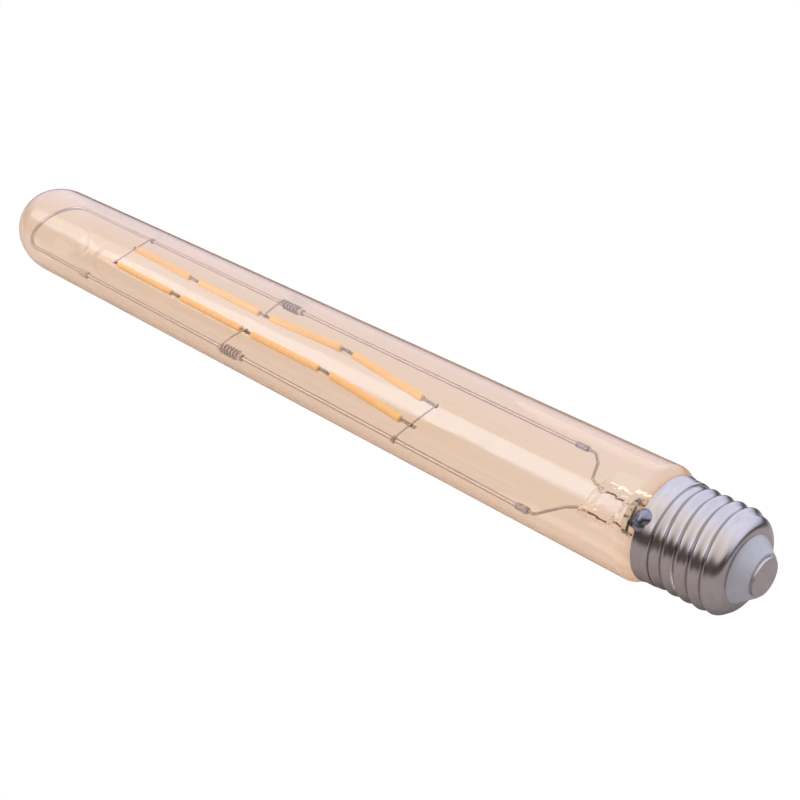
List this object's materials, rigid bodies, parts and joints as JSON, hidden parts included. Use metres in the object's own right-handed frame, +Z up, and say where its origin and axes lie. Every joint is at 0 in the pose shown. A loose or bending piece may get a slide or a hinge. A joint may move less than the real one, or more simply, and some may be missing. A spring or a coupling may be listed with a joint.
{
  "type": "led filament bulb",
  "caption": "Long tubular amber glass LED filament bulb with a domed end, two rows of filaments on support rods and an Edison screw cap",
  "frame": {"origin": "centre of the outer face of the centre contact", "axes": "+X out of the centre contact along the bulb, +Z up with the bulb lying on its side, the domed end towards -X"},
  "size_m": [0.31, 0.03, 0.03],
  "materials": {
    "amber_glass": "clear amber tinted, blown, smooth",
    "stem_glass": "clear pressed glass",
    "nickel_cap": "nickel plated sheet, rolled, satin bright",
    "white_insulator": "white moulded, satin",
    "contact_metal": "plated contact disc",
    "solder": "dull grey solder",
    "cement": "matt capping cement",
    "nickel_wire": "drawn nickel wire and tab",
    "rod_steel": "drawn plated rod",
    "sealing_wire": "copper clad wire, oxidised red brown",
    "insulating_glaze": "glazed insulating sleeve and bead",
    "phosphor_coat": "yellow phosphor in silicone",
    "circuit_board": "glass fibre board",
    "chip_plastic": "moulded black package",
    "capacitor_can": "drawn can",
    "fuse_ceramic": "coated resistor body"
  },
  "bodies": {
    "root": {"back_crimp": "nickel_wire", "back_inner_lead": "nickel_wire", "back_outer_lead": "sealing_wire", "back_press_wire": "sealing_wire", "back_rod": "rod_steel", "back_sleeve": "insulating_glaze", "back_support_wire": "nickel_wire", "bridge_rectifier": "chip_plastic", "cap_cement": "cement", "cap_insulator": "white_insulator", "cap_shell": "nickel_cap", "centre_contact": "contact_metal", "driver_board": "circuit_board", "driver_chip": "chip_plastic", "end_bead": "insulating_glaze", "exhaust_tube": "stem_glass", "far_cross_wire": "nickel_wire", "filament_a1": "phosphor_coat", "filament_a2": "phosphor_coat", "filament_a3": "phosphor_coat", "filament_a4": "phosphor_coat", "filament_b1": "phosphor_coat", "filament_b2": "phosphor_coat", "filament_b3": "phosphor_coat", "filament_b4": "phosphor_coat", "front_crimp": "nickel_wire", "front_inner_lead": "nickel_wire", "front_outer_lead": "sealing_wire", "front_press_wire": "sealing_wire", "front_rod": "rod_steel", "front_sleeve": "insulating_glaze", "front_support_wire": "nickel_wire", "fuse_resistor": "fuse_ceramic", "glass_envelope": "amber_glass", "near_cross_wire": "nickel_wire", "neutral_wire": "nickel_wire", "rim_solder": "solder", "smoothing_capacitor": "capacitor_can", "stem": "stem_glass", "tab_a1_far": "nickel_wire", "tab_a1_near": "nickel_wire", "tab_a2_far": "nickel_wire", "tab_a2_near": "nickel_wire", "tab_a3_far": "nickel_wire", "tab_a3_near": "nickel_wire", "tab_a4_far": "nickel_wire", "tab_a4_near": "nickel_wire", "tab_b1_far": "nickel_wire", "tab_b1_near": "nickel_wire", "tab_b2_far": "nickel_wire", "tab_b2_near": "nickel_wire", "tab_b3_far": "nickel_wire", "tab_b3_near": "nickel_wire", "tab_b4_far": "nickel_wire", "tab_b4_near": "nickel_wire"}
  },
  "joints": []
}
